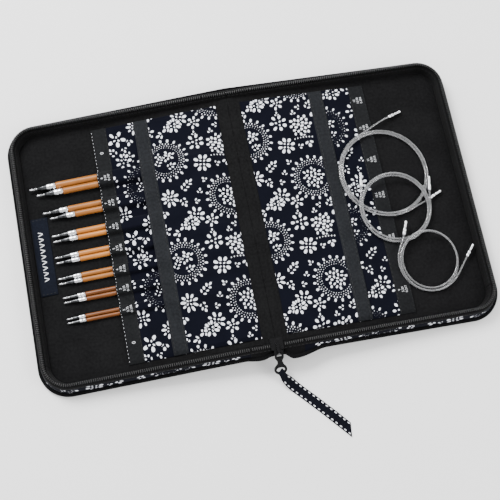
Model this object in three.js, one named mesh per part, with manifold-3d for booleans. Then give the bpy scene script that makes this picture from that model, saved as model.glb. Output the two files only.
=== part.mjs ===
// Interchangeable knitting needle set: a zip-round fabric case lying open like a book,
// seven pairs of bamboo tips in the left pocket and three coiled cables on the right page.
// Millimetres. X runs across the pages, Y runs along the spine towards the far edge, Z is up.
import * as THREE from "three";
import { mergeVertices } from "three/addons/utils/BufferGeometryUtils.js";
import Module from "manifold-3d";

const wasm = await Module();
wasm.setup();

// Driving dimensions of the case. Each page is measured from its hinge line:
// u outwards, v along the spine, w up from the top of its board.
const COVER_HEIGHT = 207;
const COVER_WIDTH = 162;
const CORNER_RADIUS = 23;
const SPINE_HALF_WIDTH = 6.5;
const PAGE_SLOPE = THREE.MathUtils.degToRad(4.5);
const BOARD_THICKNESS = 2;
const GAP = 0.3;
const HALF_HEIGHT = COVER_HEIGHT / 2;
const HINGE_HEIGHT = COVER_WIDTH * Math.sin(PAGE_SLOPE) + BOARD_THICKNESS * Math.cos(PAGE_SLOPE);

// Walls. An inset is a distance inwards from the cover's outer edge.
const PIPING_RADIUS = 1.5;
const PIPING_SIDES = 8;
const BOARD_INSET = 2 * PIPING_RADIUS + GAP;
const WALL_START = 12;
const WALL_HEIGHT = 12.05;
const WALL_HEIGHT_AT_HINGE = 6.2;
const WALL_FULL_AT = COVER_WIDTH - 5;
const PIPING_START = 2;
const CORNER_STEPS = 8;
const GUSSET_SECTION = [[3.5, 0.3], [5.4, 10.1], [6.5, 10.1], [4.6, 0.3]];
const ZIP_SECTION = [
  [8.4, 0.3],
  [6.9, 10.6],
  [5.6, 10.6],
  [5.6, WALL_HEIGHT],
  [7.9, WALL_HEIGHT],
  [7.9, 9.9],
  [9.3, 0.3],
];

// Flat layers of a page, each with the height of its underside.
const LINING_INSET = 9.6;
const LINING_START = 1.5;
const LINING_BASE = 0.3;
const LINING_THICKNESS = 0.8;
const POCKET_HALF_LENGTH = 90;
const POCKET_START = 2.5;
const POCKET_BASE = 1.4;
const CLOTH = 0.7;
const SIZE_TAPE_START = 86;
const POCKET_MOUTH = 97.5;
const FRONT_MOUTH = 65;
const RIB_START = 8.5;
const RIB_SIDE = 1.2;
const RIB_CLEARANCE = 0.5;

const LABEL = { u: 145.4, v: 0.5, width: 12.6, length: 59, thickness: 0.5 };

// Needle tips, from the far pair to the near one: shaft diameter, place along the spine,
// how far the steel end reaches, its length, and how far the far needle stands out more.
const NEEDLE_LENGTH = 127;
const NEEDLE_POINT = 19;
const NEEDLE_SIDES = 12;
const NEEDLE_PAIRS = [
  { size: 5.0, v: 49.3, reach: 144.5, steel: 20.4, stagger: 4.8 },
  { size: 4.5, v: 29.8, reach: 137.2, steel: 19.2, stagger: 4.6 },
  { size: 4.0, v: 11.6, reach: 137.4, steel: 18.7, stagger: 0.4 },
  { size: 3.75, v: -4.8, reach: 137.7, steel: 18.0, stagger: 0.3 },
  { size: 3.5, v: -20.6, reach: 137.9, steel: 17.6, stagger: 0.2 },
  { size: 3.25, v: -35.0, reach: 136.3, steel: 16.8, stagger: 0.3 },
  { size: 2.75, v: -50.4, reach: 136.1, steel: 14.0, stagger: 0.2 },
];

// Cables: each coil is a ring on its own slope (about v, then about u), with a strand
// leaving it at either end and a connector on the strand.
const CABLE_RADIUS = 0.65;
const CABLE_SIDES = 8;
const RING_HEIGHT = 2.7;
const RING_WIDTH = 4.4;
const RING_STEPS = 36;
const CONNECTOR_LENGTH = 11;
const CONNECTOR_SIDES = 10;
const COILS = [
  {
    name: "a", centre: [98.4, 17.4, 4.15], radius: 34.9, slopes: [1.6, 0],
    ends: [{ from: [98.1, 53.9], at: [111.3, 60.5], heading: 17 }, { at: [127.6, -7.6], heading: 25 }],
  },
  {
    name: "b", centre: [99.8, -10.8, 6.55], radius: 27.7, slopes: [1.6, 4.9],
    ends: [{ at: [127.9, -2.6], heading: 80 }, { at: [77.3, 7.2], heading: 83 }],
  },
  {
    name: "c", centre: [115.6, -54.3, 5.35], radius: 23.8, slopes: [0.6, 6.0],
    ends: [{ at: [100.2, -33.6], heading: 69 }, { from: [139.0, -62.0], at: [143.6, -56.6], heading: 51 }],
  },
];

// Zip slider, its pull and the ribbon on the pull.
const SLIDER = {
  width: 9,
  length: 12,
  nose: 2.6,
  noseLength: 3.4,
  front: -HALF_HEIGHT - 0.3,
  base: 1.1,
  height: 3.9,
};
const BAIL = { width: 1.8, bar: 1.0, inner: 2.4, length: 8 };
const PULL_PIVOT = { y: -HALF_HEIGHT + 1.9, z: 6.2 };
const PULL_SLOPE = THREE.MathUtils.degToRad(46);
const PULL = { length: 20, thickness: 1.2, head: 6.4, waist: 3.4, ring: 9.2 };
const RIBBON = {
  width: 7.6,
  thickness: 1.0,
  rise: 5.2,
  ramp: 11,
  length: 62,
  heading: -48.5,
  start: [2.2, -118.6],
};

// The set is centred on its own bounding box, which runs from the ribbon's end to the far edge.
const RIBBON_TURN = THREE.MathUtils.degToRad(RIBBON.heading);
const RIBBON_REACH = RIBBON.length * Math.sin(RIBBON_TURN) - (RIBBON.width / 2) * Math.cos(RIBBON_TURN);
const CENTRE_Y = -(HALF_HEIGHT + RIBBON.start[1] + RIBBON_REACH) / 2;

function finish(color, roughness, metalness = 0) {
  return new THREE.MeshStandardMaterial({ color, roughness, metalness });
}

const canvas = finish(0x1b1c1f, 0.9);
const print = finish(0x1c1f33, 0.85);
const tape = finish(0x232428, 0.85);
const coilTeeth = finish(0x111113, 0.5);
const navy = finish(0x1d2436, 0.8);
const bamboo = finish(0xc98743, 0.5);
const steel = finish(0xc9ccd0, 0.25, 1);
const nylon = finish(0xe4e4e0, 0.2);
const blackMetal = finish(0x16171a, 0.35, 0.8);

function piece(name, geometry, material, parent) {
  const mesh = new THREE.Mesh(geometry, material);
  mesh.name = name;
  parent.add(mesh);
  return mesh;
}

function solidFrom(geometry) {
  const plain = geometry.clone();
  plain.deleteAttribute("normal");
  plain.deleteAttribute("uv");
  const merged = mergeVertices(plain, 1e-4);
  const vertProperties = new Float32Array(merged.attributes.position.array);
  const triVerts = new Uint32Array(merged.index.array);
  return new wasm.Manifold(new wasm.Mesh({ numProp: 3, vertProperties, triVerts }));
}

function geometryFrom(solid) {
  const mesh = solid.getMesh();
  const geometry = new THREE.BufferGeometry();
  geometry.setAttribute("position", new THREE.BufferAttribute(mesh.vertProperties, 3));
  geometry.setIndex(new THREE.BufferAttribute(mesh.triVerts, 1));
  return geometry;
}

function boxBetween(low, high) {
  const size = high.map((value, axis) => value - low[axis]);
  const box = new THREE.BoxGeometry(...size);
  box.translate(...low.map((value, axis) => value + size[axis] / 2));
  return box;
}

function polygon(points) {
  return new THREE.Shape(points.map(([x, y]) => new THREE.Vector2(x, y)));
}

// The cover's outline from the spine, along the far edge, down the outer edge and back.
// Its steps fall only where the outline bends, so straight sides stay one step long.
class PageOutline extends THREE.Curve {
  constructor(start) {
    super();
    this.knots = [{ u: start, v: HALF_HEIGHT, angle: 0 }];
    const centreU = COVER_WIDTH - CORNER_RADIUS;
    const centreV = HALF_HEIGHT - CORNER_RADIUS;
    for (const side of [1, -1]) {
      for (let step = 0; step <= CORNER_STEPS; step += 1) {
        const turn = ((side > 0 ? 0 : 1) + step / CORNER_STEPS) * (Math.PI / 2);
        this.knots.push({
          u: centreU + CORNER_RADIUS * Math.sin(turn),
          v: side * centreV + CORNER_RADIUS * Math.cos(turn),
          angle: -turn,
        });
      }
    }
    this.knots.push({ u: start, v: -HALF_HEIGHT, angle: -Math.PI });
  }

  get steps() {
    return this.knots.length - 1;
  }

  knot(t) {
    return this.knots[Math.round(t * this.steps)];
  }

  getPointAt(t, target = new THREE.Vector3()) {
    const { u, v } = this.knot(t);
    return target.set(u, v, 0);
  }

  getPoint(t, target) {
    return this.getPointAt(t, target);
  }

  getTangentAt(t, target = new THREE.Vector3()) {
    const { angle } = this.knot(t);
    return target.set(Math.cos(angle), Math.sin(angle), 0);
  }
}

function wallHeightShare(u) {
  const rise = (WALL_HEIGHT - WALL_HEIGHT_AT_HINGE) * Math.min(u / WALL_FULL_AT, 1);
  return (WALL_HEIGHT_AT_HINGE + rise) / WALL_HEIGHT;
}

// A strip with one cross-section, given as [inset, height] points, all round three sides.
function edgeStrip(section, start) {
  const outline = new PageOutline(start);
  const shape = polygon(section.map(([inset, height]) => [-height, -inset]));
  return new THREE.ExtrudeGeometry(shape, { steps: outline.steps, extrudePath: outline });
}

// The walls grow lower towards the spine, so that the shut case is a slim wedge.
function wallStrip(section) {
  const geometry = edgeStrip(section, WALL_START);
  const position = geometry.attributes.position;
  for (let i = 0; i < position.count; i += 1) {
    position.setZ(i, position.getZ(i) * wallHeightShare(position.getX(i)));
  }
  return geometry;
}

function pageSheet(start, inset, base, thickness) {
  const outer = COVER_WIDTH - inset;
  const half = HALF_HEIGHT - inset;
  const radius = CORNER_RADIUS - inset;
  const shape = new THREE.Shape();
  shape.moveTo(start, -half);
  shape.lineTo(outer - radius, -half);
  shape.absarc(outer - radius, -half + radius, radius, -Math.PI / 2, 0, false);
  shape.absarc(outer - radius, half - radius, radius, 0, Math.PI / 2, false);
  shape.lineTo(start, half);
  const settings = { depth: thickness, bevelEnabled: false, curveSegments: CORNER_STEPS };
  const geometry = new THREE.ExtrudeGeometry(shape, settings);
  geometry.translate(0, 0, base);
  return geometry;
}

// How far the pocket cloth rises over the needle pair that lies under it at v.
function ribRise(pairs, v) {
  const rises = pairs.map((pair) => {
    const foot = pair.size + RIB_CLEARANCE + RIB_SIDE;
    const share = THREE.MathUtils.clamp((foot - Math.abs(v - pair.v)) / RIB_SIDE, 0, 1);
    return share * (pair.size + RIB_CLEARANCE);
  });
  return Math.max(0, ...rises);
}

function ribCorners(pairs) {
  const corners = pairs.flatMap(({ size, v }) => {
    const flat = size + RIB_CLEARANCE;
    return [v + flat + RIB_SIDE, v + flat, v - flat, v - flat - RIB_SIDE];
  });
  return [POCKET_HALF_LENGTH, ...corners, -POCKET_HALF_LENGTH];
}

// Cloth from u = start to end, lying over the needle pairs and sewn flat between them.
function ribbedCloth(pairs, start, end, lift) {
  const base = POCKET_BASE + lift;
  const under = ribCorners(pairs).map((v) => [v, base + ribRise(pairs, v)]);
  const over = under.map(([v, height]) => [v, height + CLOTH]).reverse();
  const section = polygon([...under, ...over]);
  const geometry = new THREE.ExtrudeGeometry(section, { depth: end - start, bevelEnabled: false });
  geometry.rotateX(Math.PI / 2);
  geometry.rotateZ(Math.PI / 2);
  geometry.translate(start, 0, 0);
  return geometry;
}

// A pocket's cloth is flat along its spine edge, up to where the needles' points begin.
function pocketSheet(pairs, end, lift) {
  const base = POCKET_BASE + lift;
  const ribStart = RIB_START - 1.2 * lift;
  const low = [POCKET_START, -POCKET_HALF_LENGTH, base];
  const edge = solidFrom(boxBetween(low, [ribStart + GAP, POCKET_HALF_LENGTH, base + CLOTH]));
  const ribbed = solidFrom(ribbedCloth(pairs, ribStart, end, lift));
  return geometryFrom(edge.add(ribbed));
}

function lathe(points, segments) {
  return new THREE.LatheGeometry(points.map(([r, y]) => new THREE.Vector2(r, y)), segments);
}

// A needle tip lying along +u from its point, which is inside the pocket.
function addNeedle(name, { size, steel: steelLength }, u, v, parent) {
  const radius = size / 2;
  const bambooEnd = NEEDLE_LENGTH - steelLength;
  const shaftProfile = [
    [0, 0],
    [0.35, 0.3],
    [radius * 0.8, NEEDLE_POINT * 0.6],
    [radius, NEEDLE_POINT],
    [radius, bambooEnd - GAP],
    [0, bambooEnd - GAP],
  ];
  const shaft = lathe(shaftProfile, NEEDLE_SIDES);
  const stem = 0.55 + 0.13 * size;
  const sleeve = steelLength * 0.28;
  const cone = steelLength * 0.62;
  const ferruleProfile = [
    [0, 0],
    [radius, 0],
    [radius, sleeve],
    [stem * 1.15, cone],
    [stem, cone + 0.4],
    [stem, steelLength - 0.4],
    [stem - 0.3, steelLength],
    [0, steelLength],
  ];
  const ferrule = lathe(ferruleProfile, NEEDLE_SIDES);
  ferrule.translate(0, bambooEnd, 0);
  const height = LINING_BASE + LINING_THICKNESS + GAP + radius;
  for (const [kind, geometry, material] of [["shaft", shaft, bamboo], ["ferrule", ferrule, steel]]) {
    geometry.rotateZ(-Math.PI / 2);
    const mesh = piece(`${name}_${kind}`, geometry, material, parent);
    mesh.position.set(u, v, height);
  }
}

function addNeedles(page) {
  NEEDLE_PAIRS.forEach((pair, index) => {
    const spread = (pair.size + GAP) / 2;
    for (const [which, side] of [["far", 1], ["near", -1]]) {
      const reach = pair.reach + (side > 0 ? pair.stagger : 0);
      addNeedle(`needle_${index + 1}_${which}`, pair, reach - NEEDLE_LENGTH, pair.v + side * spread, page);
    }
  });
}

function ringGeometry(radius) {
  const chamfer = 0.7;
  const inner = radius - RING_WIDTH;
  const half = RING_HEIGHT / 2;
  const section = [
    [inner + chamfer, -half],
    [radius - chamfer, -half],
    [radius, chamfer - half],
    [radius, half - chamfer],
    [radius - chamfer, half],
    [inner + chamfer, half],
    [inner, half - chamfer],
    [inner, chamfer - half],
    [inner + chamfer, -half],
  ];
  const ring = lathe(section, RING_STEPS);
  ring.rotateX(Math.PI / 2);
  return ring;
}

function connectorGeometry() {
  const body = 5;
  const profile = [
    [0, 0],
    [1.1, 0],
    [1.45, 1],
    [1.45, body],
    [0.9, body + 0.3],
    [0.9, body + 0.9],
    [1.15, body + 1.1],
    [1.15, CONNECTOR_LENGTH - 0.5],
    [0.8, CONNECTOR_LENGTH],
    [0, CONNECTOR_LENGTH],
  ];
  const connector = lathe(profile, CONNECTOR_SIDES);
  connector.rotateZ(-Math.PI / 2);
  return connector;
}

function strandGeometry(from, to) {
  const circle = new THREE.Shape();
  circle.absarc(0, 0, CABLE_RADIUS, 0, 2 * Math.PI, false);
  const path = new THREE.LineCurve3(from, to);
  const steps = Math.max(2, Math.round(from.distanceTo(to) / (5 * CABLE_RADIUS)));
  return new THREE.ExtrudeGeometry(circle, { steps, curveSegments: CABLE_SIDES, extrudePath: path });
}

// Each coil has a group on its own slope, and its strands and connectors lie in that plane.
function addCable({ name, centre, radius, slopes, ends }, page) {
  const cable = new THREE.Group();
  cable.position.set(...centre);
  const [acrossSlope, alongSlope] = slopes.map(THREE.MathUtils.degToRad);
  cable.rotation.set(alongSlope, acrossSlope, 0);
  page.add(cable);
  piece(`cable_${name}_coil`, ringGeometry(radius), nylon, cable);
  ends.forEach(({ from, at, heading }, index) => {
    const direction = THREE.MathUtils.degToRad(heading);
    const start = new THREE.Vector3(at[0] - centre[0], at[1] - centre[1], 0);
    const connector = piece(`cable_${name}_connector_${index + 1}`, connectorGeometry(), steel, cable);
    connector.position.copy(start);
    connector.rotation.z = direction;
    if (from) {
      const strandStart = new THREE.Vector3(from[0] - centre[0], from[1] - centre[1], 0);
      const outwards = new THREE.Vector3(Math.cos(direction), Math.sin(direction), 0);
      const stop = start.clone().addScaledVector(outwards, -GAP);
      piece(`cable_${name}_strand`, strandGeometry(strandStart, stop), nylon, cable);
    }
  });
}

function addPage(side, root) {
  const mirror = new THREE.Group();
  mirror.scale.x = side === "left" ? -1 : 1;
  root.add(mirror);
  const page = new THREE.Group();
  page.position.set(SPINE_HALF_WIDTH, 0, HINGE_HEIGHT);
  page.rotation.y = PAGE_SLOPE;
  mirror.add(page);

  const pairs = side === "left" ? NEEDLE_PAIRS : [];
  const pipingSection = [];
  for (let i = 0; i < PIPING_SIDES; i += 1) {
    const angle = ((i + 0.5) / PIPING_SIDES) * 2 * Math.PI;
    const reach = PIPING_RADIUS / Math.cos(Math.PI / PIPING_SIDES);
    const inset = PIPING_RADIUS - reach * Math.cos(angle);
    pipingSection.push([inset, PIPING_RADIUS - BOARD_THICKNESS + reach * Math.sin(angle)]);
  }
  const frontLift = CLOTH + GAP;
  piece(`cover_${side}`, pageSheet(GAP, BOARD_INSET, -BOARD_THICKNESS, BOARD_THICKNESS), canvas, page);
  piece(`piping_${side}`, edgeStrip(pipingSection, PIPING_START), canvas, page);
  piece(`gusset_${side}`, wallStrip(GUSSET_SECTION), print, page);
  piece(`zip_${side}`, wallStrip(ZIP_SECTION), coilTeeth, page);
  const lining = pageSheet(LINING_START, LINING_INSET, LINING_BASE, LINING_THICKNESS);
  piece(`lining_${side}`, lining, canvas, page);
  piece(`needle_pocket_${side}`, pocketSheet(pairs, SIZE_TAPE_START, 0), print, page);
  piece(`size_tape_${side}`, ribbedCloth(pairs, SIZE_TAPE_START + GAP, POCKET_MOUTH, 0), tape, page);
  piece(`front_pocket_${side}`, pocketSheet(pairs, FRONT_MOUTH, frontLift), print, page);
  return page;
}

function addLabel(page) {
  const { u, v, width, length, thickness } = LABEL;
  const label = boxBetween([-width / 2, -length / 2, 0], [width / 2, length / 2, thickness]);
  const base = LINING_BASE + LINING_THICKNESS + GAP;
  piece("woven_label", label, navy, page).position.set(u, v, base);
}

function addSpine(root) {
  const half = SPINE_HALF_WIDTH - GAP;
  const low = [-half, -HALF_HEIGHT, -BOARD_THICKNESS];
  piece("spine_panel", boxBetween(low, [half, HALF_HEIGHT, GAP]), canvas, root).position.z = HINGE_HEIGHT;
}

// The slider has a narrow nose that the pull's eye swings round. Its bail is an arch along
// the spine, and the pull's cross-bar lies under it.
function addSlider(root) {
  const { width, length, nose, noseLength, front, base, height } = SLIDER;
  const { width: bailWidth, bar, inner, length: bailLength } = BAIL;
  const top = base + height;
  const crown = top + inner + bar;
  const back = front + length;
  const shoulder = front + noseLength;
  const body = solidFrom(boxBetween([-width / 2, shoulder, base], [width / 2, back, top]));
  const tip = solidFrom(boxBetween([-nose / 2, front, base], [nose / 2, shoulder + 1, top]));
  const archEnd = front + bailLength;
  const arch = solidFrom(boxBetween([-bailWidth / 2, front, top - 1], [bailWidth / 2, archEnd, crown]));
  const windowLow = [-bailWidth, front + bar, top];
  const window = solidFrom(boxBetween(windowLow, [bailWidth, archEnd - bar, crown - bar]));
  let solid = body.add(tip).add(arch.subtract(window));
  for (const side of [-1, 1]) {
    const ends = [side, side * width].sort((left, right) => left - right);
    const throat = boxBetween([ends[0], shoulder + 2.5, base + 1.2], [ends[1], back + 1, base + 2.7]);
    solid = solid.subtract(solidFrom(throat));
  }
  piece("zip_slider", geometryFrom(solid), blackMetal, root).position.z = HINGE_HEIGHT;
}

// The pull is a flat plate: an eye round the bail, a narrow waist and an oval ring.
function addPull(root) {
  const { length, thickness, head, waist, ring } = PULL;
  const outline = new THREE.Shape();
  outline.moveTo(-head / 2, 0);
  outline.lineTo(-head / 2, -5.5);
  outline.lineTo(-waist / 2, -8.5);
  outline.lineTo(-waist / 2, -11);
  outline.absellipse(0, -length + 4.2, ring / 2, 4.2, Math.PI * 0.72, Math.PI * 2.28, false);
  outline.lineTo(waist / 2, -8.5);
  outline.lineTo(head / 2, -5.5);
  outline.lineTo(head / 2, 0.6);
  outline.lineTo(-head / 2, 0.6);
  const eye = new THREE.Path();
  eye.moveTo(-1.7, -0.6);
  eye.lineTo(1.7, -0.6);
  eye.lineTo(1.7, -5);
  eye.lineTo(-1.7, -5);
  outline.holes.push(eye);
  const slot = new THREE.Path();
  slot.absellipse(0, -length + 3.9, ring / 2 - 1.5, 2.3, 0, 2 * Math.PI, true);
  outline.holes.push(slot);
  const settings = { depth: thickness, bevelEnabled: false, curveSegments: 10 };
  const geometry = new THREE.ExtrudeGeometry(outline, settings);
  geometry.translate(0, 0, -thickness / 2);
  const pull = piece("zip_pull", geometry, blackMetal, root);
  pull.position.set(0, PULL_PIVOT.y, HINGE_HEIGHT + PULL_PIVOT.z);
  pull.rotation.x = PULL_SLOPE;
}

// The ribbon drops from the ring to the surface below, and lies there.
function addRibbon(root) {
  const { width, thickness, rise, ramp, length } = RIBBON;
  const side = polygon([
    [0, rise],
    [ramp, 0],
    [length, 0],
    [length, thickness],
    [ramp + 0.3, thickness],
    [0.5, rise + thickness],
  ]);
  const geometry = new THREE.ExtrudeGeometry(side, { depth: width, bevelEnabled: false });
  geometry.rotateX(Math.PI / 2);
  geometry.translate(0, width / 2, 0);
  const ribbon = piece("pull_ribbon", geometry, navy, root);
  ribbon.position.set(RIBBON.start[0], RIBBON.start[1], 0);
  ribbon.rotation.z = RIBBON_TURN;
}

const needleSet = new THREE.Group();
const openCase = new THREE.Group();
openCase.position.y = CENTRE_Y;
needleSet.add(openCase);
addSpine(openCase);
const leftPage = addPage("left", openCase);
const rightPage = addPage("right", openCase);
addLabel(leftPage);
addNeedles(leftPage);
COILS.forEach((coil) => addCable(coil, rightPage));
addSlider(openCase);
addPull(openCase);
addRibbon(openCase);

export default needleSet;
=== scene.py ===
"""Looks of the interchangeable knitting needle set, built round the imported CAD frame."""
import math
import random

import bmesh
import bpy
import numpy as np
from mathutils import Matrix, Vector

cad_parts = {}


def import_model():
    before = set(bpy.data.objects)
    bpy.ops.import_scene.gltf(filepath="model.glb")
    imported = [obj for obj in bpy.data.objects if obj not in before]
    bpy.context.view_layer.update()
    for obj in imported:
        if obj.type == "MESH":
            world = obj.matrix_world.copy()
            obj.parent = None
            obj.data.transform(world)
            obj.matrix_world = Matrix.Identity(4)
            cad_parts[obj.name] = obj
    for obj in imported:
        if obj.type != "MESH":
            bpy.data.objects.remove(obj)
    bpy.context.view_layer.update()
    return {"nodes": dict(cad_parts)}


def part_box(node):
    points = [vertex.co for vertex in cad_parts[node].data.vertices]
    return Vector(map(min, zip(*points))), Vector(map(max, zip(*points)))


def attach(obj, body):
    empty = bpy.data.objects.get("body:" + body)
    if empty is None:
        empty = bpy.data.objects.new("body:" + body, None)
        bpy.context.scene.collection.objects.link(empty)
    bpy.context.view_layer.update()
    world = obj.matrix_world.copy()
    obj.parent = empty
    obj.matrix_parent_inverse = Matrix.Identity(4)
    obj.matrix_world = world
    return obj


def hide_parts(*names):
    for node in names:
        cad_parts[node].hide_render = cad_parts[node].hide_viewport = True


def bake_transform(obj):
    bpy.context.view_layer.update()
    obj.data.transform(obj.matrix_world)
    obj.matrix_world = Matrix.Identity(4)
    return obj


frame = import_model()

MM = 0.001
UP = (0, 0, 1)

# The case's own dimensions in millimetres, as the CAD has them. The frame gives where it stands.
COVER_WIDTH, COVER_HEIGHT, CORNER_RADIUS = 162.0, 207.0, 23.0
HALF_HEIGHT = COVER_HEIGHT / 2
SLOPE = math.radians(4.5)
COS, SIN = math.cos(SLOPE), math.sin(SLOPE)
GAP = 0.3
spine_low, spine_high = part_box("spine_panel")
SPINE_HALF = spine_high.x / MM + GAP
HINGE_Z = spine_high.z / MM - GAP
CENTRE_Y = (spine_low.y + spine_high.y) / 2 / MM
WALL_START, WALL_HEIGHT, WALL_AT_HINGE, WALL_FULL_AT = 12.0, 12.05, 6.2, 157.0
POCKET_HALF = 90.0
CLOTH, COVER_CLOTH, ZIP_CLOTH = 0.6, 0.5, 0.55
# Flat lengths in metres. The left page's cloth also goes up over the needle pairs.
NEEDLE_CLOTH_LENGTH = {"left": 0.205, "right": 0.180}
FRONT_CLOTH_LENGTH = {"left": 0.190, "right": 0.180}

NEEDLE_LENGTH, NEEDLE_POINT, NEEDLE_BASE = 127.0, 19.0, 1.4
NEEDLE_SIDES = 32
# Shares of the shaft's radius, at shares of the point's length.
NEEDLE_TAPER = ((0.5, 0.28), (0.8, 0.6), (0.95, 0.85))
# Shaft diameter, place along the spine, reach of the steel end, its length, and the far one's lead.
NEEDLE_PAIRS = [
    (5.0, 49.3, 144.5, 20.4, 4.8),
    (4.5, 29.8, 137.2, 19.2, 4.6),
    (4.0, 11.6, 137.4, 18.7, 0.4),
    (3.75, -4.8, 137.7, 18.0, 0.3),
    (3.5, -20.6, 137.9, 17.6, 0.2),
    (3.25, -35.0, 136.3, 16.8, 0.3),
    (2.75, -50.4, 136.1, 14.0, 0.2),
]
NEEDLE_SIZES_US = ["8", "7", "6", "5", "4", "3", "2"]

CABLE_RADIUS = 0.65
CONNECTOR_LENGTH, CONNECTOR_THREADS, THREAD_START, THREAD_PITCH = 11.0, 8, 5.9, 0.6
# How far the cable wanders inside its ring, its steps a turn, and half the height of the two layers.
COIL_SPREAD, COIL_WOBBLE, COIL_STEPS, COIL_LAYER = 3.7, 0.35, 44, 0.66
# Centre, outer radius, slopes, the angle where the cable joins the ring, how many turns it makes
# (anticlockwise is positive), and each connector's place and heading.
COILS = {
    "a": (
        (98.4, 17.4, 4.15), 34.9, (1.6, 0.0), 112.0, 3.509,
        ((111.3, 60.5), 17.0), ((127.6, -7.6), 25.0),
    ),
    "b": (
        (99.8, -10.8, 6.55), 27.7, (1.6, 4.9), -11.2, -3.515,
        ((127.9, -2.6), 80.0), ((77.3, 7.2), 83.0),
    ),
    "c": (
        (115.6, -54.3, 5.35), 23.8, (0.6, 6.0), 159.8, 2.431,
        ((100.2, -33.6), 69.0), ((143.6, -56.6), 51.0),
    ),
}

# The photograph's viewpoint: round from the front, up from the floor, and the roll.
AZIMUTH, ELEVATION, ROLL = (math.radians(angle) for angle in (-16.8, 73.5, 6.0))
CAMERA_AWAY, LENS, SENSOR = 0.807, 79.2, 36.0


def world(space, points):
    """Points in a page's own millimetres (outwards, along the spine, up from the board) in metres."""
    u, v, w = np.asarray(points, float).reshape(-1, 3).T
    if space == "case":
        return np.column_stack([u, CENTRE_Y + v, HINGE_Z + w]) * MM
    x = SPINE_HALF + u * COS + w * SIN
    z = HINGE_Z - u * SIN + w * COS
    return np.column_stack([x if space == "right" else -x, CENTRE_Y + v, z]) * MM


def body_for(space):
    return {"left": "left_page", "right": "right_page", "case": "spine"}[space]


def seed_for(side, left_seed):
    return left_seed if side == "left" else left_seed + 1


def link(name, data):
    obj = bpy.data.objects.new(name, data)
    bpy.context.scene.collection.objects.link(obj)
    return obj


def make_camera():
    """A camera at the angle of the photograph."""
    level = math.cos(ELEVATION)
    back = Vector((math.sin(AZIMUTH) * level, -math.cos(AZIMUTH) * level, math.sin(ELEVATION)))
    right = Vector((math.cos(AZIMUTH), math.sin(AZIMUTH), 0))
    up = back.cross(right)
    turned_right = right * math.cos(ROLL) + up * math.sin(ROLL)
    turned_up = up * math.cos(ROLL) - right * math.sin(ROLL)
    place = Vector((-3.7, CENTRE_Y - 20.2, 0)) * MM + back * CAMERA_AWAY
    data = bpy.data.cameras.new("camera")
    data.lens, data.sensor_width = LENS, SENSOR
    data.clip_start, data.clip_end = 0.01, 20
    camera = link("camera", data)
    camera.matrix_world = Matrix([*zip(turned_right, turned_up, back, place), (0, 0, 0, 1)])
    bpy.context.scene.camera = camera


make_camera()


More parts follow.
